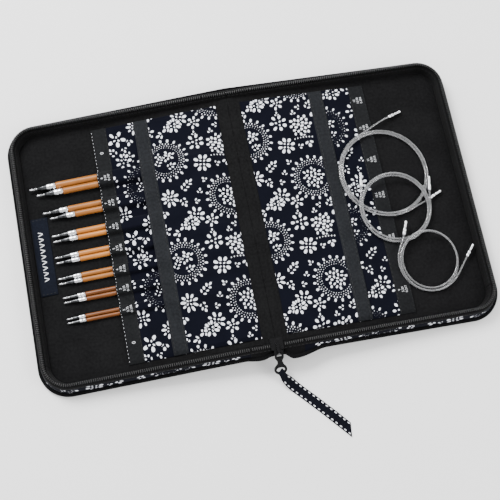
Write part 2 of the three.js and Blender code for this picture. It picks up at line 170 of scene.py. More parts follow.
# ---- Materials -------------------------------------------------------------------------------
class Shader:
    """A material and short ways to add nodes to it."""

    def __init__(self, name, **values):
        self.material = bpy.data.materials.new(name)
        self.material.use_nodes = True
        self.tree = self.material.node_tree
        self.bsdf = next(n for n in self.tree.nodes if n.type == "BSDF_PRINCIPLED")
        for key, value in values.items():
            self.set(self.bsdf, key.replace("_", " "), value)

    def set(self, node, key, value):
        socket = node.inputs[key]
        if isinstance(value, bpy.types.NodeSocket):
            self.tree.links.new(value, socket)
        elif hasattr(value, "__len__") and len(value) == 3 and socket.type == "RGBA":
            socket.default_value = (*value, 1)
        else:
            socket.default_value = value

    def add(self, kind, inputs=None, **settings):
        node = self.tree.nodes.new(kind)
        for key, value in settings.items():
            setattr(node, key, value)
        for key, value in (inputs or {}).items():
            self.set(node, key, value)
        return node

    def math(self, operation, first, second=0.0):
        return self.add("ShaderNodeMath", {0: first, 1: second}, operation=operation).outputs[0]

    def total(self, *terms):
        """The sum of values, each times its weight."""
        weighted = [self.math("MULTIPLY", value, weight) for value, weight in terms]
        result = weighted[0]
        for value in weighted[1:]:
            result = self.math("ADD", result, value)
        return result

    def coords(self, name="cloth"):
        return self.add("ShaderNodeAttribute", attribute_name=name).outputs["Vector"]

    def place(self):
        """Object coordinates in millimetres."""
        source = self.add("ShaderNodeTexCoord").outputs["Object"]
        scale = (1 / MM, 1 / MM, 1 / MM)
        return self.add("ShaderNodeVectorMath", {0: source, 1: scale}, operation="MULTIPLY").outputs[0]

    def noise(self, vector, scale, detail=3.0, stretch=(1, 1, 1), roughness=0.55):
        mapped = self.add("ShaderNodeVectorMath", {0: vector, 1: stretch}, operation="MULTIPLY").outputs[0]
        inputs = {"Vector": mapped, "Scale": scale, "Detail": detail, "Roughness": roughness}
        return self.add("ShaderNodeTexNoise", inputs).outputs["Fac"]

    def uneven(self, vector, scale):
        """Noise about zero."""
        return self.math("SUBTRACT", self.noise(vector, scale, 2), 0.5)

    def ramp(self, value, low, high, out_low=0.0, out_high=1.0, kind="LINEAR"):
        inputs = {"Value": value, "From Min": low, "From Max": high, "To Min": out_low, "To Max": out_high}
        return self.add("ShaderNodeMapRange", inputs, interpolation_type=kind).outputs["Result"]

    def mix(self, share, first, second):
        return self.add("ShaderNodeMix", {0: share, 6: first, 7: second}, data_type="RGBA").outputs[2]

    def bump(self, height, distance, strength=1.0, under=None):
        inputs = {"Height": height, "Distance": distance, "Strength": strength}
        if under is not None:
            inputs["Normal"] = under
        return self.add("ShaderNodeBump", inputs).outputs["Normal"]

    def wave(self, along, wavelength):
        return self.math("SINE", self.math("MULTIPLY", along, 2 * math.pi / wavelength))

    def threads(self, vector, weave, pitch):
        """Height of the threads of a weave of that pitch in millimetres, from 0 to 1."""
        split = self.add("ShaderNodeSeparateXYZ", {0: vector}).outputs
        if weave == "plain":
            height = self.math("MULTIPLY", self.wave(split[0], 2 * pitch), self.wave(split[1], 2 * pitch))
        elif weave == "twill":
            height = self.wave(self.math("ADD", split[0], split[1]), pitch)
        else:
            height = self.wave(split[0 if weave == "ribs_x" else 1], pitch)
        return self.ramp(height, -1, 1)

    def finish(self, color, roughness, normal=None):
        for key, value in (("Base Color", color), ("Roughness", roughness), ("Normal", normal)):
            if value is not None:
                self.set(self.bsdf, key, value)
        return self.material


def cloth_material(name, dark, light, weave, pitch, rough=0.86, sheen=0.02, depth=0.06, shine=0.08,
                   own_coords=True):
    """Woven cloth: threads with painted shade between them, uneven dye, lint and a soft sheen."""
    shader = Shader(name, Sheen_Weight=sheen, Sheen_Roughness=0.5, Specular_IOR_Level=shine)
    vector = shader.coords() if own_coords else shader.place()
    threads = shader.threads(vector, weave, pitch)
    lint = shader.noise(vector, 1.7, 2)
    # The threads' height darkens the colour where they lie low, which is painted shade between the threads;
    # the noise terms are uneven dye and lint.
    mixed = shader.total((threads, 0.45), (shader.noise(vector, 0.05, 4), 0.75),
                         (shader.math("SUBTRACT", lint, 0.5), 0.5), (shader.uneven(vector, 0.55), 1.1))
    color = shader.mix(shader.ramp(mixed, 0.2, 1.0), dark, light)
    roughness = shader.ramp(lint, 0.3, 0.7, rough - 0.05, rough + 0.06)
    fuzz = shader.bump(lint, 0.05 * MM, 0.6)
    return shader.finish(color, roughness, shader.bump(threads, depth * MM, 0.9, fuzz))


def print_material():
    """Cotton with a floral print, whose petals come from a distance kept on the mesh."""
    shader = Shader("printed_cotton", Sheen_Weight=0.02, Sheen_Roughness=0.5, Specular_IOR_Level=0.05)
    vector = shader.coords()
    distance = shader.add("ShaderNodeAttribute", attribute_name="print").outputs["Fac"]
    ragged = shader.math("MULTIPLY", shader.uneven(vector, 1.1), 0.22)
    edge = shader.ramp(shader.math("ADD", distance, ragged), 0.07, 0.25, kind="SMOOTHSTEP")
    threads = shader.threads(vector, "plain", 0.34)
    ground = shader.mix(shader.noise(vector, 0.06, 4), (0.0014, 0.0017, 0.0042), (0.0032, 0.0038, 0.0085))
    petal = shader.mix(shader.noise(vector, 0.9, 3), (0.78, 0.80, 0.88), (0.90, 0.91, 0.95))
    # Where the threads lie low the colour is darkened to 0.86 of itself: painted shade between the threads.
    color = shader.add("ShaderNodeVectorMath", {0: shader.mix(edge, ground, petal)}, operation="SCALE")
    shader.set(color, "Scale", shader.ramp(threads, 0, 1, 0.86, 1.0))
    creases = shader.bump(shader.noise(vector, 1.5, 2), 0.04 * MM, 0.5)
    normal = shader.bump(threads, 0.05 * MM, 0.8, creases)
    return shader.finish(color.outputs[0], shader.ramp(edge, 0, 1, 0.9, 0.78), normal)


def bamboo_material(name, dark, light):
    """Polished bamboo, whose grain and dark pores run along the shaft."""
    shader = Shader(name, Coat_Weight=0.12, Coat_Roughness=0.3, Specular_IOR_Level=0.25)
    vector = shader.coords("grain")
    fibre = shader.noise(vector, 0.9, 5, (0.05, 2.4, 2.4), 0.7)
    streak = shader.noise(vector, 0.5, 3, (0.03, 3.5, 3.5))
    mixed = shader.total((fibre, 0.9), (shader.noise(vector, 0.08, 3), 0.35))
    color = shader.mix(shader.ramp(mixed, 0.42, 0.78), dark, light)
    pores = shader.math("MULTIPLY", shader.ramp(streak, 0.60, 0.72), 0.75)
    color = shader.mix(pores, color, tuple(0.45 * c for c in dark))
    return shader.finish(color, shader.ramp(streak, 0.3, 0.7, 0.34, 0.52), shader.bump(fibre, 0.06 * MM, 0.5))


def metal_material(name, dark, light, rough, scratch=(0.2, 6, 6), turned=True, metallic=1.0, shine=0.5):
    """Worn metal with fine scratches, along the shaft where it is turned."""
    shader = Shader(name, Metallic=metallic, Specular_IOR_Level=shine)
    vector = shader.coords("grain") if turned else shader.place()
    lines = shader.noise(vector, 1.2, 4, scratch)
    color = shader.mix(shader.ramp(shader.noise(vector, 0.35, 3), 0.3, 0.7), dark, light)
    roughness = shader.ramp(lines, 0.3, 0.7, rough * 0.75, rough * 1.3)
    return shader.finish(color, roughness, shader.bump(lines, 0.012 * MM, 0.5))


def nylon_material():
    shader = Shader("clear_nylon", Transmission_Weight=0.88, IOR=1.5)
    vector = shader.place()
    color = shader.mix(shader.noise(vector, 0.12, 3), (0.58, 0.59, 0.60), (0.76, 0.76, 0.77))
    roughness = shader.ramp(shader.noise(vector, 0.7, 2), 0.3, 0.7, 0.05, 0.14)
    return shader.finish(color, roughness, shader.bump(shader.noise(vector, 0.12, 2), 0.01 * MM, 0.2))


def grained_material(name, dark, light, rough, shine=0.5):
    """A plain material with a fine grain, for plastic, ink and board."""
    shader = Shader(name, Specular_IOR_Level=shine)
    grain = shader.noise(shader.place(), 1.5, 3)
    color = shader.mix(shader.ramp(grain, 0.3, 0.7), dark, light)
    roughness = shader.ramp(grain, 0.3, 0.7, rough - 0.06, rough + 0.08)
    return shader.finish(color, roughness, shader.bump(grain, 0.02 * MM, 0.5))


printed = print_material()
lining_cloth = cloth_material(
    "lining_cloth", (0.0016, 0.0016, 0.0018), (0.0075, 0.0076, 0.0080),
    "plain", 0.42, shine=0.06)
binding_cloth = cloth_material(
    "binding_cloth", (0.0050, 0.0055, 0.0066), (0.0150, 0.0165, 0.0190),
    "ribs_x", 0.5, depth=0.08)
tape_cloth = cloth_material(
    "size_tape_cloth", (0.0035, 0.0038, 0.0043), (0.0105, 0.0112, 0.0122),
    "ribs_y", 0.45)
zip_cloth = cloth_material(
    "zip_tape_cloth", (0.0012, 0.0012, 0.0013), (0.0062, 0.0062, 0.0066),
    "twill", 0.9, depth=0.1, shine=0.07)
piping_cloth = cloth_material(
    "piping_cloth", (0.0010, 0.0010, 0.0012), (0.0050, 0.0050, 0.0056),
    "twill", 0.5, shine=0.06)
label_cloth = cloth_material(
    "label_cloth", (0.0018, 0.0026, 0.0056), (0.0052, 0.0070, 0.0135),
    "ribs_x", 0.32, rough=0.7, shine=0.06)
ribbon_cloth = cloth_material(
    "ribbon_cloth", (0.0008, 0.0010, 0.0026), (0.0030, 0.0038, 0.0078),
    "ribs_x", 0.75, rough=0.7, depth=0.12, shine=0.05)
white_thread = cloth_material(
    "white_thread", (0.62, 0.63, 0.67), (0.90, 0.91, 0.93),
    "twill", 0.3, sheen=0.1, shine=0.3, own_coords=False)
dark_thread = cloth_material(
    "dark_thread", (0.0060, 0.0060, 0.0068), (0.0200, 0.0200, 0.0215),
    "twill", 0.3, shine=0.3, own_coords=False)
white_ink = grained_material("white_ink", (0.42, 0.43, 0.45), (0.62, 0.63, 0.65), 0.7)
teeth_nylon = grained_material("zip_teeth_nylon", (0.004, 0.004, 0.0045), (0.014, 0.014, 0.015), 0.3, 0.6)
board_card = grained_material("board_card", (0.010, 0.010, 0.011), (0.022, 0.022, 0.024), 0.85)
bamboo_light = bamboo_material("bamboo_light", (0.25, 0.083, 0.013), (0.46, 0.170, 0.029))
bamboo_warm = bamboo_material("bamboo_warm", (0.165, 0.055, 0.009), (0.335, 0.122, 0.022))
bamboo_brown = bamboo_material("bamboo_brown", (0.074, 0.020, 0.003), (0.185, 0.056, 0.008))
bright_steel = metal_material("bright_steel", (0.66, 0.67, 0.69), (0.88, 0.88, 0.89), 0.16)
# The cone's steel is coloured near black to stand in for the dark reflections on it: painted shade and
# reflection.
shaded_cone_steel = metal_material("tapered_steel_painted_shade", (0.030, 0.031, 0.034), (0.115, 0.118, 0.122), 0.2)
worn_steel = metal_material("threaded_steel", (0.20, 0.205, 0.215), (0.46, 0.465, 0.475), 0.2)
gunmetal = metal_material(
    "black_gunmetal", (0.0045, 0.0045, 0.005), (0.0085, 0.0085, 0.0092),
    0.26, (2, 2, 2), turned=False, metallic=0.5, shine=0.15)
clear_nylon = nylon_material()


# ---- Mesh helpers ----------------------------------------------------------------------------
def ease(low, high, value):
    share = np.clip((value - low) / (high - low), 0, 1)
    return share * share * (3 - 2 * share)


def wrinkle(u, v, seed, wavelength, count=7):
    """Slow unevenness between about -1 and 1."""
    draw = random.Random(seed)
    total = np.zeros_like(u)
    for _ in range(count):
        size = 2 * math.pi / (wavelength * draw.uniform(0.6, 1.8))
        turn = draw.uniform(0, math.pi)
        phase = draw.uniform(0, 2 * math.pi)
        total += np.sin(size * (u * math.cos(turn) + v * math.sin(turn)) + phase)
    return total / count * 1.6


def bilinear(field, i, j, after_i, after_j, a, b):
    """Values of a field between its points."""
    return (field[i, j] * (1 - a) * (1 - b) + field[after_i, j] * a * (1 - b)
            + field[i, after_j] * (1 - a) * b + field[after_i, after_j] * a * b)


def travel_along(path):
    """How far along a path each of its points is."""
    return np.concatenate([[0], np.cumsum(np.linalg.norm(np.diff(path, axis=0), axis=1))])


def make(name, space, points, faces, material, slot, body=None, attributes=None, smooth=True, replaces=()):
    """A mesh piece from points in a page's millimetres, riding on a body."""
    mesh = bpy.data.meshes.new(name)
    mesh.from_pydata(world(space, points).tolist(), [], faces)
    for key, values in (attributes or {}).items():
        values = np.asarray(values, np.float32)
        kind, field = ("FLOAT_VECTOR", "vector") if values.ndim == 2 else ("FLOAT", "value")
        mesh.attributes.new(key, kind, "POINT").data.foreach_set(field, values.ravel())
    cleaner = bmesh.new()
    cleaner.from_mesh(mesh)
    bmesh.ops.recalc_face_normals(cleaner, faces=cleaner.faces)
    cleaner.to_mesh(mesh)
    cleaner.free()
    if smooth:
        mesh.shade_smooth()
    for entry in material if isinstance(material, list) else [material]:
        mesh.materials.append(entry)
    obj = link(name, mesh)
    if replaces:
        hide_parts(*replaces)
    if body:
        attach(obj, body)
    return obj


def grid_faces(rows, columns, start=0, closed=False):
    """Quads over a grid of points, joined round where the columns are closed."""
    i, j = np.meshgrid(np.arange(rows - 1), np.arange(columns if closed else columns - 1), indexing="ij")
    after_j = (j + 1) % columns
    low, high = i * columns, (i + 1) * columns
    return (np.stack([low + j, high + j, high + after_j, low + after_j], -1).reshape(-1, 4) + start).tolist()


def slab(name, space, grid, thickness, material, attributes=None, **options):
    """A cloth of even thickness behind a grid of points, closed at its edges."""
    rows, columns, _ = grid.shape
    normal = np.cross(np.gradient(grid, axis=0), np.gradient(grid, axis=1))
    normal /= np.maximum(np.linalg.norm(normal, axis=-1, keepdims=True), 1e-9)
    back = grid - normal * thickness
    count = rows * columns
    points = np.concatenate([grid.reshape(-1, 3), back.reshape(-1, 3)])
    faces = grid_faces(rows, columns) + [face[::-1] for face in grid_faces(rows, columns, count)]
    ring = [(i, 0) for i in range(rows)] + [(rows - 1, j) for j in range(1, columns)]
    ring += [(i, columns - 1) for i in range(rows - 2, -1, -1)] + [(0, j) for j in range(columns - 2, 0, -1)]
    ring = [i * columns + j for i, j in ring]
    for here, after in zip(ring, ring[1:] + ring[:1]):
        faces.append([here, here + count, after + count, after])
    doubled = {}
    for key, values in (attributes or {}).items():
        flat = values.reshape(-1, values.shape[-1]) if values.ndim == 3 else values.reshape(-1)
        doubled[key] = np.concatenate([flat, flat])
    return make(name, space, points, faces, material, attributes=doubled, **options)


def turned_faces(rings, around):
    """Faces of a shape made of rings between two end points: the ends first."""
    last = rings * around + 1
    faces = []
    for step in range(around):
        after = (step + 1) % around
        faces += [(0, 1 + after, 1 + step), (last, last - around + step, last - around + after)]
    return faces + grid_faces(rings, around, 1, closed=True)


def bead(around, rings, power):
    """Template of a rounded bar from x = -1 to 1, blocky where power is under 1."""
    points = [(-1.0, 0.0, 0.0)]
    for ring in range(1, rings + 1):
        angle = math.pi * ring / (rings + 1)
        x = -math.copysign(abs(math.cos(angle)) ** power, math.cos(angle))
        reach = math.sin(angle) ** power
        for step in range(around):
            turn = 2 * math.pi * (step + 0.5) / around
            y, z = (math.copysign(abs(f(turn)) ** power, f(turn)) for f in (math.cos, math.sin))
            points.append((x, reach * y, reach * z))
    points.append((1.0, 0.0, 0.0))
    return np.array(points), turned_faces(rings, around)


def beads(name, space, spots, size, material, around=6, rings=3, power=0.7, **options):
    """Many small rounded bars in one mesh: each spot is (centre, direction, up)."""
    template, template_faces = bead(around, rings, power)
    points, faces = [], []
    for index, (centre, along, up) in enumerate(spots):
        along = np.asarray(along, float) / np.linalg.norm(along)
        across = np.cross(up, along)
        across /= np.linalg.norm(across)
        up = np.cross(along, across)
        local = template * (np.asarray(size) / 2)
        points.append(np.asarray(centre) + local @ np.array([along, across, up]))
        offset = index * len(template)
        faces += [tuple(corner + offset for corner in face) for face in template_faces]
    return make(name, space, np.concatenate(points), faces, material, **options)


def resample(path, spacing, start=0.5):
    """Evenly spaced points along a path, with the direction at each."""
    path = np.asarray(path, float)
    travelled = travel_along(path)
    count = max(1, int(travelled[-1] / spacing))
    where = (np.arange(count) + start) * travelled[-1] / count

    def at(places):
        return np.column_stack([np.interp(places, travelled, path[:, axis]) for axis in range(3)])

    return at(where), at(where + 0.05) - at(where - 0.05)


def stitches(name, space, path, material=dark_thread, length=2.0, spacing=3.2, width=0.45, **options):
    spots = [(point, direction, UP) for point, direction in zip(*resample(path, spacing))]
    return beads(name, space, spots, (length, width, width * 0.7), material, power=1.0, **options)


def lathe(name, space, profile, origin, material, segments, basis=None, **options):
    """A turned piece along u, or along the first axis of basis: the profile is (radius, distance along)."""
    origin = np.asarray(origin, float)
    angles = 2 * np.pi * np.arange(segments) / segments
    local = [[(profile[0][1], 0, 0)]]
    for radius, along in profile[1:-1]:
        ring = [np.full(segments, along), radius * np.cos(angles), radius * np.sin(angles)]
        local.append(np.column_stack(ring))
    local = np.concatenate([*local, [(profile[-1][1], 0, 0)]])
    points = origin + (local if basis is None else local @ basis)
    faces = turned_faces(len(profile) - 2, segments)
    return make(name, space, points, faces, material, attributes={"grain": local + origin * 3}, **options)


def tube(name, space, path, radius, material, sides=14, **options):
    """A round cord along a path, with closed ends."""
    tangent = np.gradient(path, axis=0)
    tangent /= np.linalg.norm(tangent, axis=1, keepdims=True)
    across = np.cross(tangent, UP)
    across /= np.linalg.norm(across, axis=1, keepdims=True)
    up = np.cross(across, tangent)
    angles = 2 * np.pi * np.arange(sides) / sides
    around = [axis[:, None, :] * share[None, :, None] for axis, share in
              ((across, np.cos(angles)), (up, np.sin(angles)))]
    ring = path[:, None, :] + radius * (around[0] + around[1])
    cloth = np.broadcast_arrays(travel_along(path)[:, None], (angles * radius)[None, :], np.zeros((1, 1)))
    faces = grid_faces(len(path), sides, closed=True)
    faces += [list(range(sides))[::-1], list(range((len(path) - 1) * sides, len(path) * sides))]
    return make(name, space, ring.reshape(-1, 3), faces, material,
                attributes={"cloth": np.stack(cloth, -1).reshape(-1, 3)}, **options)


# ---- Cables: cords first ---------------------------------------------------------------------
def coil_basis(slopes):
    """The turn that tilts a coil by its slopes: across the page first, then along the spine."""
    (cos_across, sin_across), (cos_along, sin_along) = (
        (math.cos(math.radians(slope)), math.sin(math.radians(slope))) for slope in slopes)
    about_v = np.array([[cos_across, 0, sin_across], [0, 1, 0], [-sin_across, 0, cos_across]])
    about_u = np.array([[1, 0, 0], [0, cos_along, -sin_along], [0, sin_along, cos_along]])
    return about_u @ about_v


def hermite(start, start_way, end, end_way, count=12):
    """A smooth curve from one point to another, leaving and arriving along the given ways."""
    reach = np.linalg.norm(end - start)
    t = np.linspace(0, 1, count)[:, None]
    return ((2 * t**3 - 3 * t**2 + 1) * start + (t**3 - 2 * t**2 + t) * reach * start_way
            + (3 * t**2 - 2 * t**3) * end + (t**3 - t**2) * reach * end_way)


def coil_route(centre, ring, start_angle, turns, first, last):
    """The cable's line in its coil's plane: in from one connector, round the ring, out to the other."""
    outer, inner = ring - CABLE_RADIUS - 0.05, ring - COIL_SPREAD
    share = np.linspace(0, 1, int(abs(turns) * COIL_STEPS))
    angle = np.radians(start_angle) + share * turns * 2 * np.pi
    radius = inner + (outer - inner) * (np.abs(2 * share - 1) ** 1.1)
    radius += COIL_WOBBLE * np.sin(2 * angle + ring) * np.sin(np.pi * share)
    # The first turns lie under the last ones, a cable's width apart.
    height = -COIL_LAYER * np.cos(np.pi * np.clip((share - 0.32) / 0.36, 0, 1))
    winding = np.column_stack([radius * np.cos(angle), radius * np.sin(angle), height])
    ends = []
    for (place, heading), turn in ((first, angle[0]), (last, angle[-1])):
        end = np.array([place[0] - centre[0], place[1] - centre[1], 0])
        way = np.array([math.cos(math.radians(heading)), math.sin(math.radians(heading)), 0])
        tangent = math.copysign(1, turns) * np.array([-math.sin(turn), math.cos(turn), 0])
        ends.append((end, way, tangent))
    (start, start_way, joining), (finish, finish_way, leaving) = ends
    lead_in = hermite(start, -start_way, winding[0], joining)
    lead_out = hermite(winding[-1], leaving, finish, finish_way)
    return np.concatenate([lead_in[:-1], winding, lead_out[1:]])


def make_connector(name, index, place, heading, centre, rotation):
    """A cable's steel end: a rounded collar and a screw."""
    profile = [(0, 0), (0.95, 0), (1.25, 0.35), (1.45, 1.1), (1.45, 2.6), (1.34, 2.75), (1.34, 3.05)]
    profile += [(1.45, 3.2), (1.45, 4.7), (1.25, 5.05), (0.9, 5.2), (0.9, 5.8)]
    for step in range(CONNECTOR_THREADS):
        start = THREAD_START + step * THREAD_PITCH
        profile += [(0.92, start), (1.16, start + 0.2), (1.16, start + 0.38)]
    profile += [(0.85, CONNECTOR_LENGTH - 0.1), (0, CONNECTOR_LENGTH)]
    turn = math.radians(heading)
    flat = np.array([[math.cos(turn), math.sin(turn), 0], [-math.sin(turn), math.cos(turn), 0], UP])
    origin = rotation @ np.array([place[0] - centre[0], place[1] - centre[1], 0]) + np.array(centre)
    return lathe(f"{name}_screw_end_{index}", "right", profile, origin, bright_steel, 20, flat @ rotation.T,
                 body=name, slot="steel", replaces=[f"{name}_connector_{index}"])


def make_cable(name, centre, ring, slopes, start_angle, turns, first, last):
    rotation = coil_basis(slopes)
    route = coil_route(centre, ring, start_angle, turns, first, last)
    points = world("right", route @ rotation.T + np.array(centre))
    cable_name = f"cable_{name}"
    data = bpy.data.curves.new(cable_name, "CURVE")
    data.dimensions = "3D"
    data.bevel_depth = CABLE_RADIUS * MM
    data.bevel_resolution = 3
    data.use_fill_caps = True
    spline = data.splines.new("POLY")
    spline.points.add(len(points) - 1)
    spline.points.foreach_set("co", np.column_stack([points, np.ones(len(points))]).ravel())
    data.materials.append(clear_nylon)
    cable = link(cable_name, data)
    strand = [f"{cable_name}_strand"] if f"{cable_name}_strand" in frame["nodes"] else []
    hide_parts(f"{cable_name}_coil", *strand)
    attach(cable, cable_name)
    connectors = [make_connector(cable_name, index, place, heading, centre, rotation)
                  for index, (place, heading) in enumerate((first, last), 1)]


for cable_letter, coil in COILS.items():
    make_cable(cable_letter, *coil)


# ---- The floral print ------------------------------------------------------------------------
def polar(x, y, reach, degrees):
    return x + reach * math.cos(math.radians(degrees)), y + reach * math.sin(math.radians(degrees))


class FloralPrint:
    """A repeating swatch that holds each point's distance into the nearest petal, in millimetres."""

    WIDTH, HEIGHT, STEP = 83.0, 78.4, 0.2
    # The lowest distance kept, the dark gap round a petal, and how much narrower its outer end is.
    FAR, SPACE, POINT = -0.8, 0.42, 0.2

    def __init__(self):
        self.columns, self.rows = round(self.WIDTH / self.STEP), round(self.HEIGHT / self.STEP)
        self.field = np.full((self.columns, self.rows), self.FAR)
        self.random = random.Random(7)

    def window(self, x, y, before, after):
        """Indices of the swatch's points round a place, and those that they repeat."""
        i = np.arange(round(x / self.STEP) - before, round(x / self.STEP) + after)
        j = np.arange(round(y / self.STEP) - before, round(y / self.STEP) + after)
        return i, j, np.ix_(i % self.columns, j % self.rows)

    def petal(self, x, y, length, width, angle=0.0):
        """An egg-shaped petal along an angle in degrees, with a dark gap cut round it."""
        length *= self.random.uniform(0.88, 1.1)
        width *= self.random.uniform(0.72, 0.94)
        turn = math.radians(angle + self.random.uniform(-7, 7))
        a, b = length / 2, width / 2
        reach = int((max(a, b) + 1.2) / self.STEP)
        i, j, window = self.window(x, y, reach, reach + 1)
        dx = i[:, None] * self.STEP - x
        dy = j[None, :] * self.STEP - y
        along = (dx * math.cos(turn) + dy * math.sin(turn)) / a
        across = (dy * math.cos(turn) - dx * math.sin(turn)) / b
        across = across * (1 - self.POINT * np.clip(along, -1.3, 1.3))
        distance = (1 - np.sqrt(along**2 + across**2)) * (a + b) / 2
        parted = np.minimum(self.field[window], -(distance + self.SPACE))
        self.field[window] = np.maximum(np.maximum(parted, distance), self.FAR)

    def ring(self, x, y, radius, count, length, width, turn=0.0, loose=0.25):
        for step in range(count):
            angle = turn + 360 * step / count
            reach = radius + self.random.uniform(-loose, loose)
            self.petal(*polar(x, y, reach, angle), length, width, angle)

    def cluster(self, x, y, count, radius, length, width):
        """Petals packed inside a circle."""
        for step in range(count):
            angle = 137.5 * step
            place = polar(x, y, radius * math.sqrt((step + 0.35) / count), angle)
            self.petal(*place, length, width, angle + self.random.uniform(-45, 45))

    def flower(self, x, y, count, radius, length, width, turn=0.0):
        """An open flower of separate petals, with smaller ones inside."""
        self.ring(x, y, radius, count, length, width, turn, 0.5)
        self.ring(x, y, radius * 0.36, max(3, count // 2), length * 0.56, width * 0.62, turn + 25, 0.2)

    def sprig(self, x, y, heading, pairs, leaf=2.8):
        """A stem with leaves on both sides and a bud at its end."""
        for step in range(pairs):
            stem = polar(x, y, step * leaf, heading)
            for turn in (heading - 48, heading + 48):
                self.petal(*polar(*stem, leaf * 0.75, turn), leaf, leaf * 0.66, turn)
        self.petal(*polar(x, y, pairs * leaf + 0.8, heading), leaf * 1.15, leaf * 0.85, heading)

    def medallion(self, x, y, dense):
        """Rings of petals and dots round a packed middle, or round a spray of sprigs."""
        self.ring(x, y, 16.2, 20, 2.9, 2.3, 4)
        self.ring(x, y, 13.9, 40, 1.6, 1.15, 8.5)
        self.ring(x, y, 12.3, 40, 1.1, 1.2, 4)
        self.ring(x, y, 10.8, 38, 1.0, 1.25, 2, 0.1)
        if dense:
            self.cluster(x, y, 24, 7.9, 2.7, 2.1)
            return
        self.cluster(x + 2.3, y + 2.6, 9, 4.6, 2.8, 2.0)
        self.sprig(x - 6.6, y - 4.4, 58, 3, 2.4)
        self.sprig(x + 0.8, y - 7.0, 22, 2, 2.5)
        self.ring(x - 4.6, y + 4.4, 1.7, 3, 2.3, 1.8, 80)

    def draw(self):
        """The motifs, each placed in the swatch."""
        self.medallion(0, 0, False)
        self.medallion(41.5, -35.3, True)
        self.flower(24.3, 10.6, 7, 4.9, 3.6, 3.1, 25)
        self.sprig(24.3, 16.4, 90, 1, 1.9)
        self.flower(26.6, -8.0, 8, 4.9, 3.7, 2.8, 10)
        self.cluster(40.3, 6.2, 25, 8.4, 3.0, 2.4)
        for step in range(7):
            self.petal(34.0 + 2.2 * step, -3.0 - 0.25 * (step - 3) ** 2 * 0.3, 1.7, 1.3, 90)
        self.sprig(44.0, -6.0, -85, 1, 3.2)
        self.sprig(36.6, 15.6, 95, 1, 2.2)
        self.petal(50.5, 14.2, 3.9, 3.3, 60)
        self.petal(52.0, 9.5, 2.6, 1.9, 75)
        self.flower(-1.5, -30.0, 9, 4.5, 4.4, 2.3, 15)
        self.sprig(8.5, -26.0, 42, 3, 2.9)
        self.sprig(7.0, -31.5, -70, 2, 2.7)
        self.flower(15.0, -46.6, 8, 5.0, 3.8, 2.7, 8)
        self.sprig(9.0, -50.4, 212, 2, 3.0)
        self.sprig(-6.5, -39.0, -105, 1, 3.2)
        self.flower(-9.5, -53.5, 6, 3.4, 3.3, 2.4, 12)
        self.flower(-19.5, -18.5, 8, 4.7, 4.1, 2.4, 22)
        self.sprig(-22.5, -11.0, 105, 2, 2.8)
        self.flower(-13.5, 23.0, 7, 4.7, 3.9, 2.7, 0)
        self.sprig(-18.0, 28.5, 130, 2, 2.9)
        self.flower(-16.0, 41.0, 5, 4.6, 5.0, 3.2, 60)
        self.sprig(-12.0, 33.8, -75, 1, 2.6)
        self.sprig(-22.5, 3.0, 82, 2, 2.8)
        self.flower(10.5, 27.0, 7, 4.3, 3.7, 2.6, 30)
        self.sprig(1.5, 21.8, 195, 1, 3.0)
        self.flower(25.5, 26.5, 6, 3.5, 3.3, 2.5, 15)
        self.sprig(47.5, 19.5, 60, 2, 2.7)
        self.fill(260)

    def fill(self, tries):
        """Small sprays in the spaces that are still empty."""
        reach = round(3.2 / self.STEP)
        for _ in range(tries):
            x, y = self.random.uniform(0, self.WIDTH), self.random.uniform(0, self.HEIGHT)
            heading = self.random.uniform(0, 360)
            window = self.window(*polar(x, y, 1.9, heading), reach, reach)[2]
            if self.field[window].max() < -0.3:
                self.sprig(x, y, heading, 1, 2.3)

    def values(self, x, y):
        """Distances at any points, by interpolation."""
        fx, fy = np.mod(x / self.STEP, self.columns), np.mod(y / self.STEP, self.rows)
        i, j = np.floor(fx).astype(int), np.floor(fy).astype(int)
        a, b = fx - i, fy - j
        i, j = i % self.columns, j % self.rows
        return bilinear(self.field, i, j, (i + 1) % self.columns, (j + 1) % self.rows, a, b)


floral = FloralPrint()
floral.draw()


def cloth_attributes(u, v, print_origin=None, side="right"):
    """Cloth coordinates in millimetres and, for printed cloth, the print's distances."""
    found = {"cloth": np.stack([u, v, np.zeros_like(u)], -1)}
    if print_origin is not None:
        across = u if side == "right" else -u
        found["print"] = floral.values(across - print_origin[0], v - print_origin[1])
    return found


# ---- Pockets ---------------------------------------------------------------------------------
# Heights of cloth above the board where it lies flat and at its edges, and how far it clears a shaft.
POCKET_TOP, POCKET_EDGE, FRONT_LAYER, FRONT_EDGE, RIB_CLEARANCE = 2.1, 1.35, 0.85, 1.6, 0.35
DRAPE_SAG, DRAPE_STEPS = 0.006, 500


def rib_rise(v):
    """How high cloth stands over the needle pairs, as it wraps round them."""
    rise = np.zeros_like(v)
    turns = np.radians(np.linspace(0, 76, 12))
    for size, place, *_ in NEEDLE_PAIRS:
        radius, centre = size / 2, (size + GAP) / 2
        reach = radius + RIB_CLEARANCE
        xs = [0.0, *(centre + reach * np.sin(turns)), *(centre + reach + np.array([0.3, 0.8, 1.5, 2.3]))]
        foot = radius * np.array([0.5, 0.18, 0.05, 0.0])
        heights = [radius + reach, *(radius + reach * np.cos(turns)), *foot]
        rise = np.maximum(rise, np.interp(np.abs(v - place), xs, heights))
    return rise


def draped(floor, sag, steps):
    """A sheet let down on a floor of heights: it rests on the high places and hangs between them."""
    sheet = floor + 0.0
    for _ in range(steps):
        around = (sheet[:-2, 1:-1] * 0.15 + sheet[2:, 1:-1] * 0.15
                  + sheet[1:-1, :-2] * 0.35 + sheet[1:-1, 2:] * 0.35)
        sheet[1:-1, 1:-1] = np.maximum(floor[1:-1, 1:-1], around - sag)
        sheet[-1, 1:-1] = np.maximum(floor[-1, 1:-1], sheet[-2, 1:-1])
        sheet[0] = floor[0]
    return sheet


